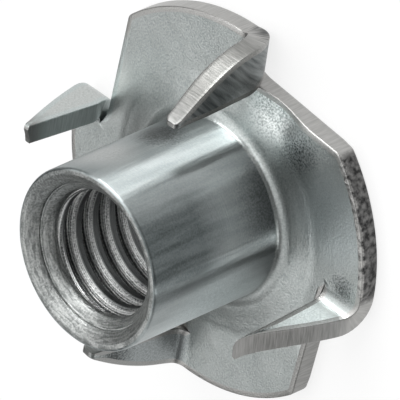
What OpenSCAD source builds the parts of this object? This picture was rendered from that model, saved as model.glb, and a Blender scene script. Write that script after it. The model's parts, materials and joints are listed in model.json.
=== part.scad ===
// Four-prong tee nut, pressed from one disc of sheet steel and zinc plated.
// The disc stands flat on z = 0 with the origin at the centre of its back face. The threaded
// barrel is drawn up along +Z, and four prongs are sheared from the rim and folded up round it.

/* [Flange] */
// Diameter of the round flange over its rim
flange_d = 22; // [20:0.5:26]
// Thickness of the sheet that the whole nut is pressed from
sheet_t = 1.2; // [0.8:0.1:1.6]
// Distance from the axis to each sheared straight edge
shear_r = 8.55; // [8.2:0.05:9]
// Direction of a sheared edge's normal, ahead of its fold line, in degrees
shear_lead = 7; // [4:1:10]
// Radius of the rounded corner where a sheared edge meets the rim
corner_r = 0.6; // [0.3:0.1:1]
// Diameter over which the flange is dished up towards the barrel
dish_d = 15; // [13.5:0.5:16]
// Height of the dish at the barrel, above the flat of the flange
dish_rise = 0.15; // [0.05:0.05:0.3]

/* [Barrel] */
// Outer diameter of the barrel
barrel_d = 10.3; // [9.6:0.1:11]
// Overall height, from the back of the flange to the mouth of the barrel
overall_h = 10.8; // [9:0.1:14]
// Radius of the fillet between the barrel and the flange
hub_fillet_r = 0.55; // [0.3:0.05:0.8]
// Radius of the rounded outer edge of the mouth
lip_r = 0.15; // [0.05:0.05:0.3]

/* [Bore] */
// Diameter of the bore over the thread crests
bore_d = 6.8; // [6.6:0.05:7]
// Diameter of the short counterbore in the mouth
counterbore_d = 8.1; // [7.8:0.05:8.4]
// Depth of the counterbore, from the mouth
counterbore_h = 0.6; // [0.6:0.05:1.2]
// Radius of the rounded inner edge of the mouth
mouth_r = 0.55; // [0.3:0.05:0.6]
// Radius that the drawing punch leaves at the back of the bore
entry_r = 1.4; // [0.8:0.1:1.8]

/* [Prongs] */
// Number of prongs round the flange
prong_count = 4; // [3:1:4]
// Direction of the first fold line, in degrees from +X
fold_start = 44; // [0:1:89]
// Height of a prong's tip above the back of the flange
prong_h = 7.4; // [6:0.1:8]
// Distance from the axis to the inner edge of a prong
prong_in = 8.4; // [8:0.1:8.6]
// Width of the blunt end of a prong
tip_w = 0.35; // [0.2:0.05:0.6]
// Thickness of a prong at its pinched tip
tip_t = 0.85; // [0.6:0.05:1]
// Inside radius of the fold
fold_r = 0.8; // [0.5:0.1:1.2]
// Angle that a prong is folded through, in degrees
fold_angle = 87; // [80:1:92]
// Radius of the gusset between a prong's inner edge and the flange
root_r = 1; // [0.5:0.1:1.4]

/* [Hidden] */
$fn = 96;

flange_r = flange_d / 2;
dish_r = dish_d / 2;
barrel_r = barrel_d / 2;
bore_r = bore_d / 2;
counterbore_r = counterbore_d / 2;
hub_z = sheet_t + dish_rise;

// Fold: a quarter-turn or so about a line above the sheet, out to the back face
fold_out = fold_r + sheet_t;
fold_z = sheet_t + fold_r;

// Straight part of a prong above its fold, long enough to pass the tip's height
blade_h = prong_h - fold_z;
blade_len = (blade_h + sheet_t) / sin(fold_angle);

// Outer edge of a prong: an arc from the rim at the sheet's front to the outer end of the tip
tip_r = prong_in + tip_w;
edge_h = prong_h - sheet_t;
edge_x = (flange_r ^ 2 - tip_r ^ 2 - edge_h ^ 2) / (2 * (flange_r - tip_r));
edge_r = flange_r - edge_x;

// Rounded corner of a lobe: its centre lies corner_r inside both the rim and the sheared edge
corner_n = shear_r - corner_r;
corner_s = sqrt((flange_r - corner_r) ^ 2 - corner_n ^ 2);
rim_s = sqrt(flange_r ^ 2 - shear_r ^ 2);

// How far cutting tools and joining stubs run past the faces they meet
past = 0.5;

// A square corner at the origin, less the quarter circle of the given radius inside it
module corner_fill(r) {
    difference() {
        square(r);
        translate([r, r]) circle(r);
    }
}

// Half section of the barrel, its dished foot and its bore
module barrel_section() {
    difference() {
        union() {
            translate([bore_r, 0]) square([barrel_r - bore_r, overall_h]);
            polygon([
                [bore_r, 0], [dish_r, 0], [dish_r, sheet_t],
                [barrel_r + hub_fillet_r, hub_z], [bore_r, hub_z]
            ]);
            translate([barrel_r, hub_z]) corner_fill(hub_fillet_r);
        }
        // counterbore and the rounded inner edge of the mouth
        translate([bore_r - past, overall_h - counterbore_h])
            square([counterbore_r - bore_r + past, counterbore_h + past]);
        translate([counterbore_r, overall_h]) mirror([0, 1]) corner_fill(mouth_r);
        // rounded outer edge of the mouth
        translate([barrel_r, overall_h]) mirror([1, 0]) mirror([0, 1]) corner_fill(lip_r);
        // radius left by the drawing punch at the back of the bore
        translate([bore_r, 0]) corner_fill(entry_r);
    }
}

module barrel() {
    rotate_extrude() barrel_section();
}

// What the shears take from one lobe: all beyond the sheared edge, up to the fold line and
// a little past it, where the prong's tongue fills in again. In this frame the sheared edge's
// normal lies along +X and the fold line is shear_lead ahead.
module shear_gap() {
    far = flange_r + past;
    tongue_in = past / 2;
    polygon([
        [shear_r, shear_r * tan(shear_lead) + tongue_in], [shear_r, -far],
        [far, -far], [far, far * tan(shear_lead) + tongue_in]
    ]);
}

// The sharp point that rounding takes off the next lobe's corner
module corner_point() {
    rim_k = flange_r / (flange_r - corner_r);
    difference() {
        polygon([
            [corner_n, -corner_s], [shear_r, -corner_s],
            [shear_r + past, -rim_s - past],
            [corner_n * rim_k, -corner_s * rim_k]
        ]);
        translate([corner_n, -corner_s]) circle(corner_r);
    }
}

// Plan of the flange, without the prongs
module flange_plan() {
    difference() {
        circle(flange_r);
        circle(barrel_r);
        for (k = [0 : prong_count - 1])
            rotate(fold_start - shear_lead + k * 360 / prong_count) {
                shear_gap();
                corner_point();
            }
    }
}

module flange() {
    linear_extrude(sheet_t) flange_plan();
}

// Sections across the fold, looking in along it: the short tongue inside the flange, the
// bend, and the blade that thins to its tip
module tongue_section() {
    square([past, sheet_t]);
}

module bend_section() {
    reach = 2 * fold_out;
    translate([0, fold_z])
        intersection() {
            rotate(90 - fold_angle)
                difference() {
                    circle(fold_out);
                    circle(fold_r);
                    translate([-reach, 0]) square([2 * reach, reach]);
                }
            translate([-reach, -reach]) square([reach, 2 * reach]);
        }
}

module blade_section() {
    pinch = (sheet_t - tip_t) / 2;
    translate([0, fold_z])
        rotate(90 - fold_angle)
            polygon([
                [-fold_out, 0], [-fold_r, 0],
                [-fold_r - pinch, blade_len], [-fold_out + pinch, blade_len]
            ]);
}

// Side outline of a prong, seen along the flange: foot, gusset, straight inner edge, tip and
// outer arc. The foot runs out past the rim, which trims it.
module prong_outline() {
    translate([prong_in - root_r, 0]) square([flange_r + past - prong_in + root_r, sheet_t]);
    intersection() {
        union() {
            translate([prong_in, 0]) square([flange_r - prong_in, prong_h]);
            translate([prong_in, sheet_t]) mirror([1, 0]) corner_fill(root_r);
        }
        translate([edge_x, sheet_t]) circle(edge_r);
    }
}

// A section carried along the fold line, trimmed to a prong's side outline and to the rim
module trimmed() {
    intersection() {
        rotate([90, 0, 90]) linear_extrude(flange_r) children();
        translate([0, past, 0])
            rotate([90, 0, 0])
                linear_extrude(fold_out + blade_len + past) prong_outline();
        cylinder(h = prong_h, r = flange_r);
    }
}

// One prong in its own frame: fold line along +X, folded up on the -Y side
module prong() {
    trimmed() tongue_section();
    trimmed() bend_section();
    trimmed() blade_section();
}

module tee_nut() {
    color([0.68, 0.7, 0.69]) {
        barrel();
        flange();
        for (k = [0 : prong_count - 1])
            rotate(fold_start + k * 360 / prong_count) prong();
    }
}

tee_nut();
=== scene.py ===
import json

import bpy
import numpy as np
from mathutils import Matrix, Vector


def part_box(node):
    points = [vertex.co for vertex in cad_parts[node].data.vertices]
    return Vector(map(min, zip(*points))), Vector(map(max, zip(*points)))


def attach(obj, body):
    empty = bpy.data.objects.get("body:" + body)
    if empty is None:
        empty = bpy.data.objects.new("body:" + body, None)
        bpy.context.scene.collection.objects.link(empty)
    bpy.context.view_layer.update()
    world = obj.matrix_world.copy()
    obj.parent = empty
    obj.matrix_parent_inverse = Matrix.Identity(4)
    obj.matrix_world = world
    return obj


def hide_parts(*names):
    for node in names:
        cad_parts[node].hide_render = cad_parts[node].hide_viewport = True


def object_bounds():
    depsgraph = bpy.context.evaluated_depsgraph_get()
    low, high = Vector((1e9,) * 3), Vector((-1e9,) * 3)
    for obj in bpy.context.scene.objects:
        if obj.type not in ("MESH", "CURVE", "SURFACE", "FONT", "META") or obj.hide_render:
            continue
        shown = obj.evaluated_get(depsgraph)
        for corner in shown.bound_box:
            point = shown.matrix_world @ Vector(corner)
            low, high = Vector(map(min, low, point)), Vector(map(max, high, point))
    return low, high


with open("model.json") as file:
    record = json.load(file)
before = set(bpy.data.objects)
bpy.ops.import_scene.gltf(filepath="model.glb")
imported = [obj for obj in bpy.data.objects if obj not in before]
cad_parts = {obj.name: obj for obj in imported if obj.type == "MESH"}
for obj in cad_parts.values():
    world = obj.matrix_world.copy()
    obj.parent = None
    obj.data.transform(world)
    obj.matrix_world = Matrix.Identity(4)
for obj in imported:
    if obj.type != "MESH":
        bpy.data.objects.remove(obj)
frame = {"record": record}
cad_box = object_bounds()

# ---------------------------------------------------------------- flange
# The flange is the disc of sheet steel that the whole nut is pressed from. Four straight
# shear cuts turn it into a pinwheel of four lobes, each from one prong's fold line to the
# next. The rim is blanked, the straight edges are sheared, and plating rounds both a little.
mount = {m["name"]: m for m in frame["record"]["mounts"]}
sheet_t = mount["seat"]["pos_m"][2]
rim_r = 11.0e-3
# each sheared edge ends at the fold line that its prong stands on: where that line lies, how
# far the edge's normal lies behind it (degrees), the edge's distance from the axis, and how
# far its rounded end swings out
shears = [
    dict(fold_line=43.4, behind=6.4, distance=8.55e-3, flare=0.6e-3),
    dict(fold_line=134, behind=4.0, distance=8.55e-3, flare=0.4e-3),
    dict(fold_line=222, behind=5.0, distance=8.55e-3, flare=0.1e-3),
    dict(fold_line=312, behind=5.0, distance=8.3e-3, flare=0.1e-3),
]
flare_length = 1.5e-3      # the length over which a cut's end swings out
corner_r = 0.6e-3
hub_r = 7.6e-3             # where the flange's flat meets the barrel's drawn foot
edge_inset = 0.32e-3       # width of the band of fine faces kept beside every edge
front_r, rim_back_r, cut_back_r = 0.07e-3, 0.2e-3, 0.1e-3      # rounding of the edges
fade_length = 0.7e-3       # the length over which rounding fades out into a slit's end
slit_ease = 2.2            # degrees over which the face's rows come round a slit's end
# the warp: direction and half width in degrees, and depth or height, of the dip and the swell
dip_at, dip_half, dip_depth = 21, 15, 0.3e-3
swell_at, swell_half, swell_height = 1, 16, 0.18e-3
quarter = np.pi / 2


def along(a, b, n, crowd=0.0):
    """n + 1 values from a to b; crowd above 0 draws them together towards b."""
    u = np.linspace(0, 1, n + 1)
    return a + (b - a) * (u + crowd * u * (1 - u))


def polar(angle):
    """Unit vectors at these angles in the disc's plane."""
    return np.stack([np.cos(angle), np.sin(angle)], -1)


def lobe_outline(span, behind, shear_r, flare):
    """One lobe's edge, as points and outward normals, in a frame whose +X is the fold line
    that the lobe starts from: the rim arc, the rounded corner tangent to rim and cut, then
    the straight cut up to the next fold line, which lies span ahead. The cut's last part
    swings out along the fold line, by the square of the way along it."""
    normal = polar(span - behind)
    ahead = polar(span - behind + quarter)
    centre = ((shear_r - corner_r) * normal
              - np.sqrt((rim_r - corner_r) ** 2 - (shear_r - corner_r) ** 2) * ahead)
    turn = np.arctan2(centre[1], centre[0]) % (2 * np.pi)
    rim = polar(along(0, turn, 34))
    bend = polar(along(turn, span - behind, 8)[1:])
    start = centre + corner_r * normal
    end = shear_r * normal + shear_r * np.tan(behind) * ahead
    cut = start + (end - start) * along(0, 1, 24, 0.7)[1:, None]
    swing = np.clip(1 - np.hypot(*(cut - end).T) / flare_length, 0, 1) ** 2
    cut = cut + flare * swing[:, None] * polar(span)
    points = np.concatenate([rim * rim_r, centre + corner_r * bend, cut])
    normals = np.concatenate([rim, bend, np.broadcast_to(normal, cut.shape)])
    return points, normals, 1.0 * (np.arange(len(points)) >= len(rim) + len(bend))


quarter_turn = along(0, quarter, 4)


def edge_profile(inset, front, back, thickness):
    """Distance in from the outline and height in the sheet for each row of an edge band: the
    inset line, a quarter circle of the front radius, the sheared wall, a quarter circle of
    the back radius, the back inset line. Arrays have one row for each point of the outline."""
    inset, front, back = inset[:, None], front[:, None], back[:, None]
    wall = np.linspace(0, 1, 7)[1:-1]
    depth = np.concatenate([
        inset, front * (1 - np.sin(quarter_turn)), 0 * front * wall,
        back * (1 - np.cos(quarter_turn)), inset], 1)
    height = np.concatenate([
        0 * inset + thickness, thickness - front * (1 - np.cos(quarter_turn)),
        thickness - front - (thickness - front - back) * wall,
        back * (1 - np.sin(quarter_turn)), 0 * inset], 1)
    return depth, height


def smooth(x, a, b):
    """Rises smoothly from 0 at a to 1 at b."""
    u = np.clip((x - a) / (b - a), 0, 1)
    return u * u * (3 - 2 * u)


def turned_about(points, angle):
    """Points turned about the nut's axis."""
    c, s = np.cos(angle), np.sin(angle)
    return points @ np.array([[c, s, 0], [-s, c, 0], [0, 0, 1]])


def warped(points):
    """The sheet as pressing left it: between two prongs its front dips towards the shear cut
    and, beside that, rises in one smooth swell halfway out, while its back stays flat."""
    radius = np.hypot(points[..., 0], points[..., 1])
    angle = np.degrees(np.arctan2(points[..., 1], points[..., 0]))
    dip = np.clip(1 - (angle - dip_at) ** 2 / dip_half ** 2, 0, 1) ** 2
    rise = np.clip(1 - (angle - swell_at) ** 2 / swell_half ** 2, 0, 1) ** 2
    swell = smooth(radius, 5.6e-3, 8.2e-3) * (1 - smooth(radius, 8.2e-3, 10.8e-3))
    trough = smooth(radius, 5.8e-3, 8.6e-3) * (1 - 0.5 * smooth(radius, 8.4e-3, 9.8e-3))
    lift = swell_height * rise * swell - dip_depth * dip * trough
    lift = lift * np.clip(points[..., 2] / sheet_t, 0, 1)
    return points + lift[..., None] * np.array([0, 0, 1])


across = 12                # rows over the part of the flange that the shears reach
ring_r = 8.05e-3           # the ring of rows from which they start
share_in = along(0, 1, 6)[:, None, None]
share_out = along(0, 1, across, 0.6)
slit_r = [cut["distance"] / np.cos(np.radians(cut["behind"])) + cut["flare"] for cut in shears]


def lobe(k):
    """The front, back and edge band of the lobe between prongs k and k + 1, as grids of
    points, and the angles of their columns. A face runs in straight spokes from the hub out
    to a ring through the two slit ends, and in straight lines on to the edge's inset line."""
    start, cut = shears[k], shears[(k + 1) % 4]
    span = np.radians((cut["fold_line"] - start["fold_line"]) % 360)
    outline, outward, is_cut = lobe_outline(
        span, np.radians(cut["behind"]), cut["distance"], cut["flare"])
    column = np.unwrap(np.arctan2(outline[:, 1], outline[:, 0]))
    # the edge's rounding fades out towards the end of the cut
    fade = smooth(np.hypot(*(outline - outline[-1]).T), 0, fade_length)
    back_r = rim_back_r + (cut_back_r - rim_back_r) * is_cut
    depth, height = edge_profile(
        fade * edge_inset, fade * front_r, fade * back_r, sheet_t)
    edge = np.concatenate([
        outline[:, None] - outward[:, None] * depth[..., None], height[..., None]], 2)
    slit_gap = np.minimum(column, span - column)
    nearest = np.where(column < span / 2, slit_r[k], slit_r[(k + 1) % 4])
    ring = ring_r + (nearest - ring_r) * np.exp(-(slit_gap / np.radians(slit_ease)) ** 2)
    hub, ring = polar(column) * hub_r, polar(column) * ring[:, None]
    grids = [edge]
    for row, z in ((0, sheet_t), (-1, 0.0)):
        flat = np.concatenate([
            hub + (ring - hub) * share_in,
            (ring + (edge[:, row, :2] - ring) * share_out[:, None, None])[1:]])
        grids.append(np.concatenate([flat, np.full(flat.shape[:2] + (1,), z)], 2))
    angle = np.radians(start["fold_line"])
    return [warped(turned_about(grid, angle)) for grid in grids], column + angle


# ---------------------------------------------------------------- prongs
# The four prongs are the pieces of the disc outside the shear cuts, folded up about radial
# lines to grip the wood. Each was one blow of the press, so their folds differ by a few
# degrees, and the tips are pinched or left as the shear cut them.
neutral = 0.45             # share of the sheet's thickness at which its length is kept
arc_r = 14.34e-3           # radius of its outer edge
arc_back = 0.71e-3         # how far that arc's centre lies behind the fold line
prongs = [
    # turn of the blade about the nut's axis, angle of the fold and lean of the blade in its
    # own plane (degrees); the fold's inside radius; developed length, inner edge's distance
    # from the axis, how far the outer edge bulges and whether that lies near the middle (1) or
    # later (2); width of the tip, share of the thickness left there and share of the length
    # where the thinning starts; length of the tip's rounding, and how much further the tip
    # reaches on its back face than on its front
    dict(turn=1.4, fold=91.3, lean=-4.15, fold_in=1.0e-3, reach=7.55e-3, inner=8.45e-3,
         bulge=0.72e-3, late=1, tip_w=0.3e-3, tip_t=0.8, pinch=0.65, tip_round=0.3e-3, slant=0.0),
    dict(turn=0.5, fold=85.7, lean=1.5, fold_in=0.74e-3, reach=7.15e-3, inner=8.45e-3,
         bulge=-0.3e-3, late=1, tip_w=0.18e-3, tip_t=1.0, pinch=0.5, tip_round=0.08e-3,
         slant=0.3e-3),
    dict(turn=-1.3, fold=83.5, lean=1.1, fold_in=0.4e-3, reach=7.2e-3, inner=8.4e-3,
         bulge=0.0, late=1, tip_w=0.18e-3, tip_t=0.8, pinch=0.35, tip_round=0.3e-3, slant=0.0),
    dict(turn=-0.3, fold=84.0, lean=-1.0, fold_in=0.74e-3, reach=7.75e-3, inner=8.5e-3,
         bulge=-0.75e-3, late=2, tip_w=0.08e-3, tip_t=1.1, pinch=0.35, tip_round=0.3e-3,
         slant=0.0),
]


def folded(rho, eta, w, prong, angle):
    """Carries a point of the flat sheet into the folded prong. rho runs out along the fold
    line, eta is the length along the sheet past it and w the height in the sheet. Up to the
    fold angle the sheet follows a circle about a line above its front; then it is straight.
    The blade leans along the fold line in step with eta, thins smoothly towards the tip and
    ends in a rounded edge, which may reach further on one face than on the other."""
    fold = np.radians(prong["fold"])
    fold_in = prong["fold_in"]
    bend_r = fold_in + neutral * sheet_t
    angle_here = np.clip(eta / bend_r, 0, fold)
    thin = 1 - (1 - prong["tip_t"]) * smooth(eta, prong["pinch"] * prong["reach"], prong["reach"])
    at_tip = np.clip((eta - prong["reach"]) / prong["tip_round"] + 1, 0, 1)
    thin = thin * np.sqrt(1 - 0.7 * at_tip ** 2)
    slant = prong["slant"] * (0.5 - w / sheet_t) * np.clip(eta / prong["reach"], 0, 1) ** 6
    beyond = np.maximum(eta + slant - bend_r * fold, 0)
    w = sheet_t / 2 + (w - sheet_t / 2) * thin
    radius = fold_in + sheet_t - w
    side = radius * np.sin(angle_here) + beyond * np.cos(fold) + np.minimum(eta, 0)
    up = fold_in + sheet_t - radius * np.cos(angle_here) + beyond * np.sin(fold)
    rho = rho + np.tan(np.radians(prong["lean"])) * np.maximum(eta - bend_r * fold / 2, 0)
    psi = angle + np.radians(prong["turn"]) * smooth(eta, 0, 2.2e-3)
    x = rho * np.cos(psi) + side * np.sin(psi)
    y = rho * np.sin(psi) - side * np.cos(psi)
    return np.stack([x, y, up], -1)


def prong_pieces(prong, angle, slit_r):
    """The inner face, outer face and edge band of one prong, each as a grid of points and a
    grid of where those lie in the flat blank: the blank between its straight inner edge and
    the arc of its outer edge, carried by folded."""
    length, tip_round = prong["reach"], prong["tip_round"]
    eta = np.concatenate([
        along(0, length - tip_round, 38, 0.2),
        length - tip_round * (1 - np.sin(along(0, quarter, 6)[1:]))])
    outer = (np.sqrt(arc_r ** 2 - (eta + arc_back) ** 2) + rim_r
             - np.sqrt(arc_r ** 2 - arc_back ** 2)
             + 4 * prong["bulge"] * (eta / length) ** prong["late"] * (1 - eta / length))
    inner = slit_r + (prong["inner"] - slit_r) * smooth(eta, 0.3e-3, 2.4e-3)
    # past the middle the blade's width runs smoothly into the width of the tip
    width = outer - inner
    kept = (np.sqrt(width ** 2 + 4 * prong["tip_w"] ** 2) - width) / 2
    outer = outer + kept * smooth(eta, 0, length / 2)
    # once round the blank: out along the arc, across the tip, back along the inner edge
    tip = along(outer[-1], inner[-1], across)[1:-1]
    path = np.concatenate([
        np.stack([outer, eta], -1), np.stack([tip, np.full_like(tip, length)], -1),
        np.stack([inner, eta], -1)[::-1]])
    left, right = np.roll(path, 1, 0), np.roll(path, -1, 0)
    left[0], right[0] = path[0] - [0, 1e-5], path[1]
    right[-1] = path[-1] + (path[-1] - path[-2])
    step = right - left
    out = np.stack([step[:, 1], -step[:, 0]], -1)
    out /= np.hypot(*out.T)[:, None]
    out[0] = 1, 0
    fade_in = smooth(path[:, 1], 0, fade_length)
    fade_in[: len(eta)] = 1
    narrow = np.interp(path[:, 1], eta, outer - inner)
    rounding = np.minimum(front_r, 0.2 * narrow) * fade_in
    # the outer edge carries on from the rim, whose back is rounded more
    back_rounding = rounding.copy()
    back_rounding[: len(eta)] += (rim_back_r - front_r) * (1 - smooth(eta, 0, 1.5e-3))
    inset = np.minimum(edge_inset, 0.36 * narrow) * fade_in
    # no inset past the tip's end: there the two faces come together over the rounded end
    inset *= 1 - 0.8 * smooth(path[:, 1], length - 0.4e-3, length)
    depth, height = edge_profile(inset, rounding, back_rounding, sheet_t)
    flat = path[:, None] - out[:, None] * depth[..., None]
    flat[..., 1] = np.minimum(flat[..., 1], length - depth)
    edge = folded(flat[..., 0], flat[..., 1], height, prong, angle)

    def in_blank(rho, eta, w):
        return turned_about(np.stack([rho, -eta, w + 0 * rho], -1), angle)

    faces = []
    for row in (0, -1):
        rim = flat[:, row]
        a, b = rim[: len(eta)], rim[-len(eta):][::-1]
        line = b + (a - b) * share_out[:, None, None]
        line[:, -1] = np.concatenate([a[-1:], rim[len(eta):-len(eta)], b[-1:]])[::-1]
        w = sheet_t if row == 0 else 0.0
        faces.append((folded(line[..., 0], line[..., 1], w, prong, angle),
                      in_blank(line[..., 0], line[..., 1], w)))
    return faces[0], faces[1], (edge, in_blank(flat[..., 0], flat[..., 1], height))


# ---------------------------------------------------------------- barrel
# The barrel is drawn up from the middle of the disc and tapped M8 x 1.25 right-hand. Its
# mouth has a narrow rounded lip, a countersink and a short plain lead-in before the first
# thread; at the back the drawing punch leaves a large radius.
barrel_r = mount["barrel"]["dims"]["r_mm"] * 1e-3
crest_r = mount["thread"]["dims"]["r_mm"] * 1e-3
mouth_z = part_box("tee_nut")[1].z
pitch = 1.25e-3
root_r = 4.02e-3
lead_r = 3.6e-3            # plain lead-in ahead of the first thread
lead_z = 9.45e-3
entry_r = 1.4e-3
lip_out_r, lip_in_r = 0.15e-3, 0.2e-3


def arc(r, z, radius, start, end, n):
    """Points of a circular arc in the barrel's half section, by centre, radius and angles."""
    a = np.radians(np.linspace(start, end, n + 1))
    return np.stack([r + radius * np.cos(a), z + radius * np.sin(a)], -1)


foot_z = 1.38e-3
foot_out, foot_up = 0.85e-3, 0.45e-3     # the foot's fillet is wider than it is high
foot_profile = np.concatenate([
    [[hub_r, sheet_t], [7.3e-3, sheet_t + 0.004e-3], [7.15e-3, sheet_t + 0.03e-3],
     [7.0e-3, sheet_t + 0.045e-3], [6.4e-3, sheet_t + 0.09e-3]],
    arc(0, 0, 1, 270, 180, 8) * [foot_out, foot_up] + [barrel_r + foot_out, foot_z + foot_up]])
wall_profile = np.concatenate([
    foot_profile[-1:],
    np.stack([np.full(14, barrel_r), np.linspace(foot_z + 0.8e-3, mouth_z - 0.4e-3, 14)], -1),
    arc(barrel_r - lip_out_r, mouth_z - lip_out_r, lip_out_r, 0, 90, 6)])
mouth_profile = np.concatenate([
    wall_profile[-1:], arc(4.82e-3, mouth_z - lip_in_r, lip_in_r, 90, 125, 4),
    [[4.5e-3, 10.62e-3], [4.3e-3, 10.47e-3], [4.17e-3, 10.35e-3], [4.13e-3, 10.28e-3],
     [4.13e-3, 10.2e-3], [4.06e-3, 10.18e-3], [4.02e-3, 10.12e-3], [3.98e-3, 10.1e-3],
     [3.85e-3, 9.99e-3], [3.7e-3, 9.84e-3], [3.62e-3, 9.72e-3], [lead_r, 9.62e-3],
     [lead_r, lead_z]],
])
entry_profile = np.concatenate([
    [[crest_r, entry_r + 0.1e-3]],
    arc(crest_r + entry_r, entry_r, entry_r, 180, 270, 14),
    [[6.2e-3, 0], [hub_r, 0]],
])
# every column of the barrel stands behind a column of the flange
lobes = [lobe(k) for k in range(4)]
ring_angle = np.unwrap(np.concatenate([angle[:-1] for _, angle in lobes] + [lobes[0][1][:1]]))


def turned(profile):
    """A profile of radius and height turned about the axis, one grid row for each point."""
    r, z = profile[:, :1], profile[:, 1:]
    return np.stack([r * np.cos(ring_angle), r * np.sin(ring_angle), z + 0 * ring_angle], -1)


def thread_wall():
    """The tapped wall, as rows that climb with the helix: radius goes from crest to root and
    back once per pitch, with fine tool marks along each flank, and runs out to a plain wall at
    both ends. Rows that would pass the ends are held at them."""
    marks = np.random.default_rng(8)
    mark_depth = 0.028e-3
    crest, up, root, down = 4, 16, 3, 7      # rows over each part of the thread's form
    share = np.concatenate([
        along(0.0, 0.27, crest)[:-1], along(0.27, 0.62, up)[:-1],
        along(0.62, 0.70, root)[:-1], along(0.70, 1.0, down)[:-1]])
    out = np.concatenate([
        np.zeros(crest), along(0, 1, up)[:-1], np.ones(root), along(1, 0, down)[:-1]])
    rows = len(share)
    groove = out * (root_r - crest_r) + mark_depth * marks.uniform(-1, 1, rows) * (out > 0)
    first = int(np.floor(entry_r / pitch)) - 1
    last = int(np.ceil(lead_z / pitch)) + 1
    turn = np.repeat(np.arange(first, last), rows)
    climb = (np.tile(share, last - first) + turn) * pitch
    helix_angle = ring_angle - ring_angle[0]
    z = climb[:, None] + pitch * helix_angle / (2 * np.pi)
    wander = 1 + 0.01 * np.sin(1.7 * (helix_angle + 2 * np.pi * turn[:, None]))
    r = crest_r + np.tile(groove, last - first)[:, None] * wander
    low, high = entry_r + 0.1e-3, lead_z
    r_top = r + (lead_r - r) * smooth(z, high - 0.3e-3, high - 0.02e-3)
    r = crest_r + (r_top - crest_r) * smooth(z, low, low + 0.9e-3)
    z = np.clip(z, low, high)
    return np.stack([r * np.cos(ring_angle), r * np.sin(ring_angle), z], -1)[::-1]


# ---------------------------------------------------------------- one nut
# Flange, prongs and barrel are one piece of metal, so their surfaces are welded into one
# closed skin. Smooth faces are zinc over the rolled sheet, the sheared edges show the cut
# through the plate, and the thread keeps its tool marks.
PLATE, DRAWN, SHEARED, MOUTH, THREAD = range(5)
patches = []               # points, places in the blank, finish, whether the faces turn over


def skin(points, blank, finish, flip=False):
    """Keeps a grid of points as a patch of the nut's skin."""
    patches.append((points, blank, finish, flip))


for (edge, front, back), _ in lobes:
    skin(front, front, PLATE, True)
    skin(back, back, PLATE)
    skin(edge, edge, SHEARED)
for prong, cut, slit in zip(prongs, shears, slit_r):
    inner_face, outer_face, prong_edge = prong_pieces(prong, np.radians(cut["fold_line"]), slit)
    skin(*inner_face, PLATE)
    skin(*outer_face, PLATE, True)
    skin(*prong_edge, SHEARED, True)
for grid, finish in ((warped(turned(foot_profile)), PLATE), (turned(wall_profile), DRAWN),
                     (turned(mouth_profile), MOUTH), (thread_wall(), THREAD),
                     (turned(entry_profile), PLATE)):
    skin(grid, grid, finish)


def welded(patches):
    """One set of points, places in the blank, faces and finishes from all the patches: points
    in the same cell of a tenth of a micron become one; the cells' borders miss round numbers.
    A four-sided face that this closes up to three corners becomes a triangle, and one with
    fewer is dropped."""
    points, blanks, faces, finishes, base = [], [], [], [], 0
    for grid, blank, finish, flip in patches:
        rows, cols = grid.shape[:2]
        index = base + np.arange(rows * cols).reshape(rows, cols)
        quad = np.stack([index[:-1, :-1], index[:-1, 1:], index[1:, 1:], index[1:, :-1]], -1)
        quad = quad.reshape(-1, 4)
        points.append(grid.reshape(-1, 3))
        blanks.append(blank.reshape(-1, 3))
        faces.append(quad[:, ::-1] if flip else quad)
        finishes.append(np.full(len(quad), finish))
        base += rows * cols
    points, blanks = np.concatenate(points), np.concatenate(blanks)
    cells = np.floor(points / 1e-7 + 0.37).astype(np.int64)
    _, first, same = np.unique(cells, axis=0, return_index=True, return_inverse=True)
    faces, finishes = same.reshape(-1)[np.concatenate(faces)], np.concatenate(finishes)
    shut = faces == np.roll(faces, -1, 1)
    whole = ~shut.any(1) & (faces[:, 0] != faces[:, 2]) & (faces[:, 1] != faces[:, 3])
    three = shut.sum(1) == 1
    triangles = faces[three][~shut[three]].reshape(-1, 3)
    return (points[first], blanks[first], faces[whole], triangles,
            np.concatenate([finishes[whole], finishes[three]]))


points, blanks, quads, triangles, finishes = welded(patches)

mesh = bpy.data.meshes.new("Tee_nut")
mesh.from_pydata(points, [], quads.tolist() + triangles.tolist())
mesh.polygons.foreach_set("material_index", finishes)
mesh.polygons.foreach_set("use_smooth", np.ones(len(finishes), bool))
mesh.set_sharp_from_angle(angle=np.radians(32))
blank_place = mesh.attributes.new("blank", "FLOAT_VECTOR", "POINT")
blank_place.data.foreach_set("vector", blanks.ravel())
mesh.update()
nut = bpy.data.objects.new("Tee_nut", mesh)
bpy.context.scene.collection.objects.link(nut)


def metal(name, colour, roughness):
    """A new fully metallic finish: its node tree and its shader."""
    made = bpy.data.materials.new(name)
    made.use_nodes = True
    shader = made.node_tree.nodes["Principled BSDF"]
    shader.inputs["Metallic"].default_value = 1
    shader.inputs["Base Color"].default_value = (*colour, 1)
    shader.inputs["Roughness"].default_value = roughness
    mesh.materials.append(made)
    return made.node_tree, shader


def node(tree, kind, inputs=(), **settings):
    """Adds a node; an input is a value, or another node, whose first output it takes."""
    made = tree.nodes.new("ShaderNode" + kind)
    for name, value in settings.items():
        setattr(made, name, value)
    for key, value in dict(inputs).items():
        if isinstance(value, bpy.types.Node):
            value = value.outputs[0]
        if isinstance(value, bpy.types.NodeSocket):
            tree.links.new(value, made.inputs[key])
        else:
            made.inputs[key].default_value = value
    return made


def grain(tree, where, size, squeeze=(1, 1, 1), detail=2.0):
    """Noise with grains of this size in metres, drawn out where squeeze is below 1."""
    stretched = node(tree, "Mapping", {"Vector": where, "Scale": squeeze})
    return node(tree, "TexNoise", {"Vector": stretched, "Scale": 1 / size, "Detail": detail})


def spread(tree, value, low, high, start=0.3, stop=0.7):
    """Maps start..stop of a pattern to low..high."""
    return node(tree, "MapRange", {"Value": value, "From Min": start, "From Max": stop,
                                   "To Min": low, "To Max": high})


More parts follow.
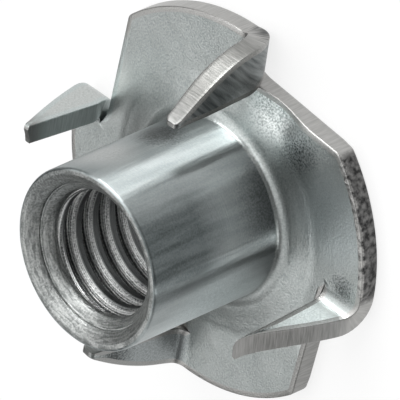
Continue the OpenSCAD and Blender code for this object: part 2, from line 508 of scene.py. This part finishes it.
def tone(tree, value, dark, light):
    """A colour between dark and light as the pattern goes from 0 to 1."""
    made = node(tree, "Mix", data_type="RGBA")
    tree.links.new(value.outputs[0], made.inputs[0])
    made.inputs[6].default_value = (*dark, 1)
    made.inputs[7].default_value = (*light, 1)
    return made.outputs[2]


def relief(tree, shader, layers):
    """Bump from patterns laid over each other: each is a pattern and its depth in metres."""
    normal = None
    for pattern, depth in layers:
        inputs = {"Height": pattern, "Distance": depth, "Strength": 1.0}
        if normal:
            inputs["Normal"] = normal
        normal = node(tree, "Bump", inputs)
    tree.links.new(normal.outputs[0], shader.inputs["Normal"])


def light_and_shade_spots(tree, place, pattern, colour, spots):
    """The colour, with spots of painted light and painted shade laid over it. Each is a
    place, the radii between which it fades out and its dark and light tones; the pattern
    roughens its border and mixes its tones."""
    gritty = spread(tree, pattern, 0, 1, 0.35, 0.65)
    for spot, near, far, dark, light in spots:
        gap = node(tree, "VectorMath", {0: place, 1: spot}, operation="DISTANCE").outputs["Value"]
        gap = node(tree, "Math", {0: pattern, 1: 1.2e-3, 2: gap}, operation="MULTIPLY_ADD")
        made = node(tree, "Mix", {0: spread(tree, gap, 1, 0, near + 0.6e-3, far + 0.6e-3)},
                    data_type="RGBA")
        tree.links.new(colour, made.inputs[6])
        tree.links.new(tone(tree, gritty, dark, light), made.inputs[7])
        colour = made.outputs[2]
    return colour


# zinc over the rolled sheet: fine crystals and faint clouds; the back of one blade is painted
# dark, as a painted dark reflection, and is scored along its length
tree, shader = metal("Zinc_on_sheet", (0.36, 0.385, 0.38), 0.35)
place = node(tree, "Attribute", attribute_name="blank").outputs["Vector"]
clouds = grain(tree, place, 2.2e-3, detail=3)
crystals = grain(tree, place, 0.11e-3, detail=3)
mottle = node(tree, "Math", {0: clouds, 1: 0.4, 2: crystals}, operation="MULTIPLY_ADD")
# painted shade: the first prong's blade is darkened past its fold line, with scored streaks
painted_blade_shade = node(tree, "VectorMath", {0: place, 1: (0.799, 0.602, -1.0)}, operation="DOT_PRODUCT")
painted_blade_shade = spread(tree, painted_blade_shade.outputs["Value"], 0, 1, 7.9e-3, 8.2e-3)
past_fold = node(tree, "VectorMath", {0: place, 1: (0.687, -0.727, 0.0)}, operation="DOT_PRODUCT")
past_fold = spread(tree, past_fold.outputs["Value"], 0, 1, 0.1e-3, 0.5e-3)
painted_blade_shade = node(tree, "Math", {0: painted_blade_shade, 1: past_fold}, operation="MULTIPLY")
across_fold = np.radians(90 - shears[0]["fold_line"])
along_blade = node(tree, "Mapping", {"Vector": place, "Rotation": (0, 0, across_fold),
                                     "Scale": (0.1, 1, 1)})
draws = node(tree, "TexNoise", {"Vector": along_blade, "Scale": 1 / 0.25e-3, "Detail": 3.0})
plate_and_blade_shade = node(tree, "Mix", {0: painted_blade_shade}, data_type="RGBA")
tree.links.new(tone(tree, spread(tree, mottle, 0, 1, 0.5, 0.9),
                    (0.29, 0.318, 0.313), (0.43, 0.452, 0.445)), plate_and_blade_shade.inputs[6])
tree.links.new(tone(tree, spread(tree, draws, 0, 1, 0.35, 0.65),
                    (0.09, 0.1, 0.1), (0.24, 0.257, 0.256)), plate_and_blade_shade.inputs[7])
# in turn: a painted highlight and a painted dark reflection beside the first shear cut, painted
# light on the plate past them and on the second prong's face; painted shade on the third prong's
# blade, darker still at its tip; a painted highlight on the fourth prong's face, darker at its
# tip, and painted shade at the foot of its fold
tree.links.new(light_and_shade_spots(tree, place, crystals, plate_and_blade_shade.outputs[2], [
    ((7.5e-3, 3.1e-3, sheet_t), 0.9e-3, 2.2e-3, (0.34, 0.37, 0.365), (0.95, 0.97, 0.96)),
    ((8.2e-3, 0.6e-3, sheet_t), 0.4e-3, 1.6e-3, (0.06, 0.07, 0.07), (0.38, 0.4, 0.4)),
    ((8.3e-3, -3.4e-3, sheet_t), 1.6e-3, 3.2e-3, (0.41, 0.45, 0.452), (0.52, 0.562, 0.563)),
    ((-4.6e-3, 9.1e-3, 0.0), 2.3e-3, 3.3e-3, (0.42, 0.44, 0.43), (0.53, 0.55, 0.54)),
    ((-9.2e-3, -4.1e-3, 0.7e-3), 2.4e-3, 3.4e-3, (0.2, 0.218, 0.22), (0.3, 0.323, 0.325)),
    ((-10.7e-3, -1.9e-3, sheet_t), 0.3e-3, 1.6e-3, (0.03, 0.034, 0.034), (0.13, 0.14, 0.14)),
    ((3.4e-3, -9.7e-3, sheet_t), 1.6e-3, 2.6e-3, (0.5, 0.53, 0.525), (0.7, 0.73, 0.72)),
    ((1.3e-3, -10.7e-3, sheet_t), 0.2e-3, 1.3e-3, (0.04, 0.045, 0.045), (0.16, 0.17, 0.17)),
    ((6.7e-3, -7.0e-3, sheet_t), 0.2e-3, 1.0e-3, (0.08, 0.09, 0.09), (0.3, 0.32, 0.32))]),
    shader.inputs["Base Color"])
relief(tree, shader, [(clouds, 0.03e-3), (crystals, 0.012e-3)])

# zinc over the drawn barrel: the die leaves fine rings, so gloss spreads along the axis, and
# streaks run up it; one side is painted darker towards the mouth, as a painted dark reflection
tree, shader = metal("Zinc_on_barrel", (0.34, 0.362, 0.36), 0.32)
place = node(tree, "TexCoord").outputs["Object"]
streaks = grain(tree, place, 0.5e-3, (1, 1, 0.12), detail=4)
specks = grain(tree, place, 0.11e-3, detail=2)
rings = grain(tree, place, 0.07e-3, (0.06, 0.06, 1), detail=2)
mottle = node(tree, "Math", {0: specks, 1: 0.5, 2: streaks}, operation="MULTIPLY_ADD")
part = node(tree, "SeparateXYZ", {0: place})
# painted shade: a dark band on the side towards +X and -Y, above the barrel's middle
facing = node(tree, "VectorMath", {0: place, 1: (0.95 / barrel_r, -0.31 / barrel_r, 0)},
              operation="DOT_PRODUCT").outputs["Value"]
painted_dark_band = node(tree, "Math", {0: spread(tree, facing, 0, 1, 0.8, 0.96),
                            1: spread(tree, part.outputs["Z"], 0, 1, 5e-3, 7e-3)},
             operation="MULTIPLY")
shade = node(tree, "Mix", {0: painted_dark_band}, data_type="RGBA")
streaked = spread(tree, mottle, 0, 1, 0.55, 0.95)
tree.links.new(tone(tree, streaked, (0.293, 0.325, 0.326), (0.392, 0.424, 0.425)),
               shade.inputs[6])
tree.links.new(tone(tree, streaked, (0.088, 0.102, 0.103), (0.183, 0.206, 0.208)),
               shade.inputs[7])
# painted reflections: the first prong seen dark low on the barrel and a light band above it;
# painted light on the -Y side; painted shade on the foot towards +X
tree.links.new(light_and_shade_spots(tree, place, specks, shade.outputs[2], [
    ((2.35e-3, 4.55e-3, 4.7e-3), 0.6e-3, 1.7e-3, (0.12, 0.13, 0.13), (0.22, 0.235, 0.235)),
    ((2.1e-3, 4.7e-3, 8.4e-3), 0.8e-3, 2.2e-3, (0.42, 0.44, 0.435), (0.52, 0.54, 0.535)),
    ((1.0e-3, -5.0e-3, 6.0e-3), 2.0e-3, 4.0e-3, (0.35, 0.395, 0.398), (0.46, 0.512, 0.515)),
    ((5.3e-3, -1.4e-3, 1.5e-3), 1.2e-3, 2.8e-3, (0.16, 0.178, 0.179), (0.26, 0.283, 0.285))]),
    shader.inputs["Base Color"])
relief(tree, shader, [(streaks, 0.02e-3), (rings, 0.012e-3)])
shader.inputs["Anisotropic"].default_value = 1.0
shader.inputs["Anisotropic Rotation"].default_value = 0.25
around = node(tree, "Tangent", direction_type="RADIAL", axis="Z")
tree.links.new(around.outputs[0], shader.inputs["Tangent"])

# sheared steel: fine lines through the thickness; on the side where the punch had most play
# the rim is torn dark but for a strip at its front, and on the prongs the cut is duller
tree, shader = metal("Zinc_on_sheared_edge", (0.40, 0.40, 0.39), 0.36)
place = node(tree, "Attribute", attribute_name="blank").outputs["Vector"]
lines = grain(tree, place, 0.09e-3, (1, 1, 0.08), detail=2)
tears = grain(tree, place, 0.3e-3, detail=4)
sheet_height = node(tree, "SeparateXYZ", {0: place}).outputs["Z"]
ragged = node(tree, "Math", {0: tears, 1: 0.7e-3, 2: sheet_height}, operation="MULTIPLY_ADD")
loose_side = node(tree, "VectorMath", {0: place, 1: (0.906, -0.423, 0)},
                  operation="DOT_PRODUCT").outputs["Value"]
off_side = node(tree, "Math", {0: tears, 1: 0.3e-3, 2: loose_side}, operation="MULTIPLY_ADD")
flange_z = node(tree, "SeparateXYZ", {0: node(tree, "TexCoord").outputs["Object"]}).outputs["Z"]
on_flange = spread(tree, flange_z, 1, 0, 1.3e-3, 2.2e-3)
at_back = node(tree, "Math", {0: spread(tree, ragged, 1, 0, 1.38e-3, 1.6e-3), 1: on_flange},
               operation="MULTIPLY")
torn = node(tree, "Math", {0: spread(tree, off_side, 0, 1, 10.25e-3, 10.4e-3), 1: at_back},
            operation="MULTIPLY")
cut_face = node(tree, "Mix", {0: torn}, data_type="RGBA")
either = node(tree, "Mix", {0: on_flange}, data_type="RGBA")
blade_edge = tone(tree, spread(tree, lines, 0, 1), (0.23, 0.233, 0.228), (0.30, 0.30, 0.293))
# painted shade on the first prong's cut edge
tree.links.new(light_and_shade_spots(tree, place, lines, blade_edge, [
    ((9.6e-3, 4.4e-3, 0.6e-3), 2.8e-3, 4.2e-3, (0.185, 0.188, 0.18), (0.26, 0.26, 0.25))]),
    either.inputs[6])
tree.links.new(tone(tree, spread(tree, lines, 0, 1), (0.33, 0.33, 0.32), (0.43, 0.425, 0.415)),
               either.inputs[7])
# painted shade on the fourth prong's cut edge, painted light on the second prong's, and painted
# shade low at the foot of the first prong's fold
tree.links.new(light_and_shade_spots(tree, place, lines, either.outputs[2], [
    ((1.0e-3, -9.6e-3, 0.7e-3), 2.6e-3, 4.6e-3, (0.22, 0.22, 0.213), (0.3, 0.298, 0.29)),
    ((-3.7e-3, 8.2e-3, 0.7e-3), 2.8e-3, 3.8e-3, (0.41, 0.45, 0.445), (0.52, 0.56, 0.555)),
    ((8.5e-3, 7.0e-3, 0.2e-3), 0.2e-3, 1.0e-3, (0.05, 0.052, 0.052), (0.2, 0.2, 0.195))]),
    cut_face.inputs[6])
tree.links.new(tone(tree, spread(tree, tears, 0, 1, 0.35, 0.65),
                    (0.03, 0.03, 0.03), (0.17, 0.168, 0.165)), cut_face.inputs[7])
tree.links.new(cut_face.outputs[2], shader.inputs["Base Color"])
tears = node(tree, "Math", {0: tears, 1: torn}, operation="MULTIPLY")
relief(tree, shader, [(lines, 0.012e-3), (tears, 0.06e-3)])

# the lip and the countersink, turned to length and left coarse, with painted shade on one side
tree, shader = metal("Zinc_on_mouth", (0.42, 0.43, 0.42), 0.45)
place = node(tree, "TexCoord").outputs["Object"]
pits = grain(tree, place, 0.12e-3, detail=3)
cuts = grain(tree, place, 0.07e-3, (0.1, 0.1, 1), detail=2)
marks = node(tree, "Math", {0: pits, 1: 0.7, 2: cuts}, operation="MULTIPLY_ADD")
coarse = tone(tree, spread(tree, marks, 0, 1, 0.68, 1.02),
              (0.19, 0.2, 0.196), (0.42, 0.432, 0.424))
tree.links.new(light_and_shade_spots(tree, place, pits, coarse, [
    ((-0.8e-3, 4.5e-3, 10.8e-3), 1.0e-3, 3.2e-3, (0.12, 0.128, 0.126), (0.27, 0.283, 0.28))]),
    shader.inputs["Base Color"])
relief(tree, shader, [(cuts, 0.015e-3), (pits, 0.025e-3)])

# tapped thread: the tap's marks run along the helix, the same on every turn, in tones up to near
# white that are partly painted highlights; each turn's innermost band is painted dark, as shade
tree, shader = metal("Zinc_in_thread", (0.34, 0.35, 0.35), 0.33)
place = node(tree, "TexCoord").outputs["Object"]
part = node(tree, "SeparateXYZ", {0: place})
angle = node(tree, "Math", {0: part.outputs["Y"], 1: part.outputs["X"]}, operation="ARCTAN2")
phase = node(tree, "Math", {0: part.outputs["Z"], 1: 2 * np.pi / pitch}, operation="MULTIPLY")
phase = node(tree, "Math", {0: phase, 1: angle}, operation="SUBTRACT")
turning = node(tree, "CombineXYZ", {
    0: node(tree, "Math", {0: phase}, operation="COSINE"),
    1: node(tree, "Math", {0: phase}, operation="SINE"),
    2: node(tree, "Math", {0: part.outputs["X"], 1: 60}, operation="MULTIPLY")})
cuts = node(tree, "TexNoise", {"Vector": turning, "Scale": 4.0, "Detail": 3.0})
specks = grain(tree, place, 0.1e-3, detail=2)
tool_marks_and_glints = node(tree, "Math", {0: specks, 1: 0.35, 2: cuts}, operation="MULTIPLY_ADD")
out = node(tree, "VectorMath", {0: place, 1: (1.0, 1.0, 0.0)}, operation="MULTIPLY")
out = node(tree, "VectorMath", {0: out}, operation="LENGTH").outputs["Value"]
flank = spread(tree, out, 0, 1, crest_r + 0.03e-3, crest_r + 0.1e-3)
marks_and_crest_shade = node(tree, "Mix", {0: flank, 6: (0.13, 0.136, 0.136, 1)}, data_type="RGBA")
tree.links.new(tone(tree, spread(tree, tool_marks_and_glints, 0, 1, 0.55, 0.82),
                    (0.1, 0.106, 0.106), (0.9, 0.91, 0.9)), marks_and_crest_shade.inputs[7])
tree.links.new(marks_and_crest_shade.outputs[2], shader.inputs["Base Color"])
relief(tree, shader, [(cuts, 0.05e-3), (specks, 0.03e-3)])

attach(nut, "root")
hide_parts("tee_nut")

# ---------------------------------------------------------------- floor
# A plain white table top, wide enough to fill the view from any side. Seen directly or in the
# metal it is lifted towards pure white; the nut's shadow stays on it.
floor_half = 20.0
floor_z = cad_box[0].z - 0.01e-3
floor_mesh = bpy.data.meshes.new("Floor")
floor_mesh.from_pydata(
    [(-floor_half, -floor_half, floor_z), (floor_half, -floor_half, floor_z),
     (floor_half, floor_half, floor_z), (-floor_half, floor_half, floor_z)], [], [(0, 1, 2, 3)])
floor = bpy.data.objects.new("Floor", floor_mesh)
bpy.context.scene.collection.objects.link(floor)
white = bpy.data.materials.new("White_table")
white.use_nodes = True
white.node_tree.nodes.clear()
paint = node(white.node_tree, "BsdfDiffuse", {"Color": (0.95, 0.95, 0.95, 1)})
lit = node(white.node_tree, "Emission", {"Color": (1, 1, 1, 1), "Strength": 1.0})
ray = node(white.node_tree, "LightPath")
seen = node(white.node_tree, "Math", {0: ray.outputs["Is Camera Ray"],
                                      1: ray.outputs["Is Glossy Ray"]}, operation="ADD")
seen = node(white.node_tree, "Math", {0: seen, 1: ray.outputs["Is Transmission Ray"]},
            operation="ADD")
lift = node(white.node_tree, "Math", {0: seen, 1: 0.8}, operation="MULTIPLY")
top = node(white.node_tree, "MixShader", {0: lift, 1: paint, 2: lit})
shown = node(white.node_tree, "OutputMaterial", {"Surface": top})
floor_mesh.materials.append(white)

# ---------------------------------------------------------------- light
# Soft studio light: a bright window low on one side with two large softboxes over it and one
# over the back, weaker ones across from it and overhead, a narrow bright strip low on the
# other side, and dark walls all round.
world = bpy.data.worlds.new("Dark_walls")
world.use_nodes = True
walls = world.node_tree.nodes["Background"]
walls.inputs["Color"].default_value = (0.1, 0.1, 0.1, 1)
walls.inputs["Strength"].default_value = 1.0
bpy.context.scene.world = world


def softbox(name, azimuth, elevation, width, height, radiance, away=1.2):
    """A rectangular lamp at this direction and distance from the nut, turned to it."""
    lamp = bpy.data.lights.new(name, "AREA")
    lamp.shape = "RECTANGLE"
    lamp.size, lamp.size_y = width, height
    lamp.energy = radiance * width * height * np.pi
    holder = bpy.data.objects.new(name, lamp)
    a, e = np.radians([azimuth, elevation])
    back = np.array([np.cos(e) * np.cos(a), np.cos(e) * np.sin(a), np.sin(e)])
    side = np.array([-np.sin(a), np.cos(a), 0])
    up = np.cross(back, side)
    holder.matrix_world = Matrix(
        [[side[i], up[i], back[i], back[i] * away] for i in range(3)] + [[0, 0, 0, 1]])
    holder.visible_camera = False
    bpy.context.scene.collection.objects.link(holder)


softbox("Window", 60, 10, 0.68, 0.38, 13.5)
softbox("Key_light", 66, 31, 1.3, 0.42, 2.2)
softbox("Top_light", 72, 56, 1.05, 0.6, 2.2)
softbox("Back_light", 163, 58, 1.05, 0.66, 2.2)
softbox("Far_light", -125, 56, 0.7, 0.6, 0.9)
softbox("Side_light", -130, 24, 0.8, 0.76, 1.0)
softbox("Strip_light", -63, 12, 0.10, 0.6, 10.0)
softbox("Ceiling_light", 0, 76, 1.3, 1.1, 1.0)

# ---------------------------------------------------------------- camera
# A long lens from far off, in front and above, which keeps nearly parallel lines parallel. It
# is rolled so that the barrel points down to the left.
azimuth, elevation, roll = np.radians([-0.584, 39.037, -113.902])
aim = np.array([-1.020e-3, 0.481e-3, 1.263e-3])
away = 0.79387
back = np.array([np.cos(elevation) * np.cos(azimuth), np.cos(elevation) * np.sin(azimuth),
                 np.sin(elevation)])
level = np.array([-np.sin(azimuth), np.cos(azimuth), 0])
above = np.cross(back, level)
right = np.cos(roll) * level + np.sin(roll) * above
up = np.cos(roll) * above - np.sin(roll) * level
place = aim + away * back
lens = bpy.data.cameras.new("Camera")
lens.lens = 1342.24
lens.sensor_width = 36
lens.clip_start, lens.clip_end = 0.01, 100
camera = bpy.data.objects.new("Camera", lens)
camera.matrix_world = Matrix(
    [[right[i], up[i], back[i], place[i]] for i in range(3)] + [[0, 0, 0, 1]])
bpy.context.scene.collection.objects.link(camera)
bpy.context.scene.camera = camera
bpy.context.scene.view_settings.view_transform = "Standard"
